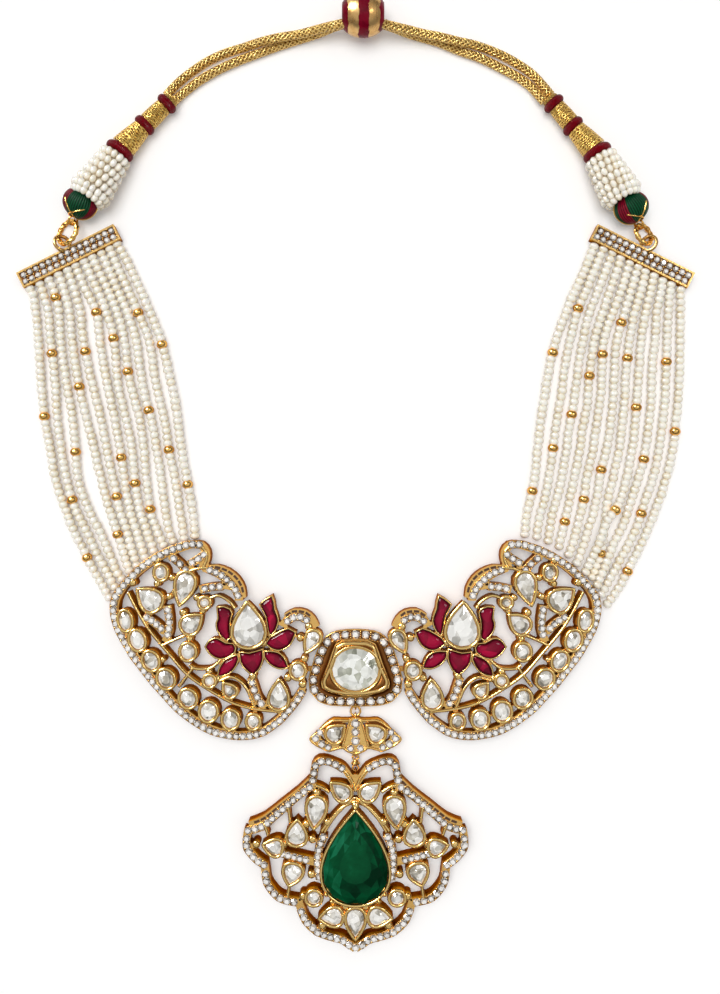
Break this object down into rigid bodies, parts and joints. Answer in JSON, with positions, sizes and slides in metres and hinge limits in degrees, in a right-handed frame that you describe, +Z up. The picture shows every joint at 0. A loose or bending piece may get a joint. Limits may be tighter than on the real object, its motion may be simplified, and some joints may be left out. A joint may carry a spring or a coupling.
{
  "type": "kundan necklace",
  "caption": "Kundan necklace laid flat: strings of seed pearls, jewelled side plaques with ruby lotus flowers, a green pear-shaped drop, bound ends and a sliding cord back.",
  "frame": {"origin": "bottom centre of everything but the back cords, on the surface it lies on", "axes": "+Y from the drop towards the sliding bead, +Z up from the surface, +X to the right seen from above"},
  "size_m": [0.1704, 0.2384, 0.0112],
  "materials": {
    "gold": "polished",
    "cord": "metallic thread",
    "pearl": "satin",
    "crystal": "polished",
    "ruby": "polished",
    "emerald": "polished",
    "thread": "wound",
    "green_thread": "wound"
  },
  "bodies": {
    "root": {"string_left_1": "pearl", "string_left_2": "pearl", "string_left_3": "pearl", "string_left_4": "pearl", "string_left_5": "pearl", "string_left_6": "pearl", "string_left_7": "pearl", "string_left_8": "pearl", "string_left_9": "pearl", "string_left_10": "pearl", "string_left_11": "pearl", "string_right_1": "pearl", "string_right_2": "pearl", "string_right_3": "pearl", "string_right_4": "pearl", "string_right_5": "pearl", "string_right_6": "pearl", "string_right_7": "pearl", "string_right_8": "pearl", "string_right_9": "pearl", "string_right_10": "pearl", "string_right_11": "pearl", "back_cord_outer": "cord", "back_cord_inner": "cord", "slider_bead": "thread", "thread_rings_left": "thread", "thread_rings_right": "thread", "gold_winding_left": "gold", "gold_winding_right": "gold", "pearl_sleeve_left": "pearl", "pearl_sleeve_right": "pearl", "wrapped_bead_left": "green_thread", "wrapped_bead_right": "green_thread", "twist_loop_left": "gold", "twist_loop_right": "gold", "spacer_bar_left": "gold", "spacer_bar_right": "gold", "plaque_frame_left": "gold", "plaque_frame_right": "gold", "plaque_stones_left": "crystal", "plaque_stones_right": "crystal", "lotus_stone_left": "crystal", "lotus_stone_right": "crystal", "ruby_petals_left": "ruby", "ruby_petals_right": "ruby", "centre_setting": "gold", "centre_stone": "crystal", "centre_small_stones": "crystal", "side_link_left": "gold", "side_link_right": "gold", "bail_ring": "gold", "bow_setting": "gold", "bow_stones": "crystal", "drop_link": "gold", "drop_frame": "gold", "drop_stones": "crystal", "emerald": "emerald"}
  },
  "joints": []
}
